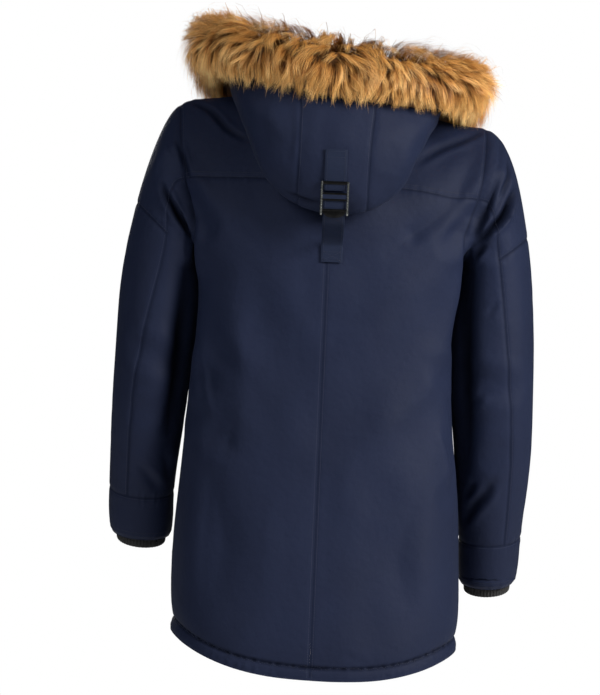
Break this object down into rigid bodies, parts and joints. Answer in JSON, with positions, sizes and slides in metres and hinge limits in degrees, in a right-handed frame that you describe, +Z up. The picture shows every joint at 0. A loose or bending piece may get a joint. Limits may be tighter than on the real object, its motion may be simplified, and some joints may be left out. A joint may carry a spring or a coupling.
{
  "type": "fur trimmed parka",
  "caption": "Navy padded mid-length parka worn open at neck, hem and cuffs, its fur-edged hood hanging down behind on a strap and ladder buckle.",
  "frame": {"origin": "midway between the two points where the shoulder seams meet the neck, where the wearer carries the coat", "axes": "+Z up along the wearer's spine, -Y towards the wearer's front, +X towards the wearer's left"},
  "size_m": [0.6082, 0.4294, 0.9252],
  "materials": {
    "navy_shell": "close weave with a faint sheen",
    "navy_webbing": "folded shell cloth, edge stitched",
    "black_rib": "matt rib knit",
    "golden_fur": "long pile fur",
    "gunmetal": "polished dark plating"
  },
  "bodies": {
    "root": {"back_left": "navy_shell", "back_right": "navy_shell", "back_tab": "navy_webbing", "back_yoke": "navy_shell", "buckle": "gunmetal", "cuff_left": "navy_shell", "cuff_right": "navy_shell", "front_left": "navy_shell", "front_placket": "navy_shell", "front_right": "navy_shell", "fur_trim": "golden_fur", "hood_centre": "navy_shell", "hood_left": "navy_shell", "hood_right": "navy_shell", "hood_tab": "navy_webbing", "rib_cuff_left": "black_rib", "rib_cuff_right": "black_rib", "sleeve_left_cap": "navy_shell", "sleeve_left_outer": "navy_shell", "sleeve_left_under": "navy_shell", "sleeve_right_cap": "navy_shell", "sleeve_right_outer": "navy_shell", "sleeve_right_under": "navy_shell"}
  },
  "joints": []
}
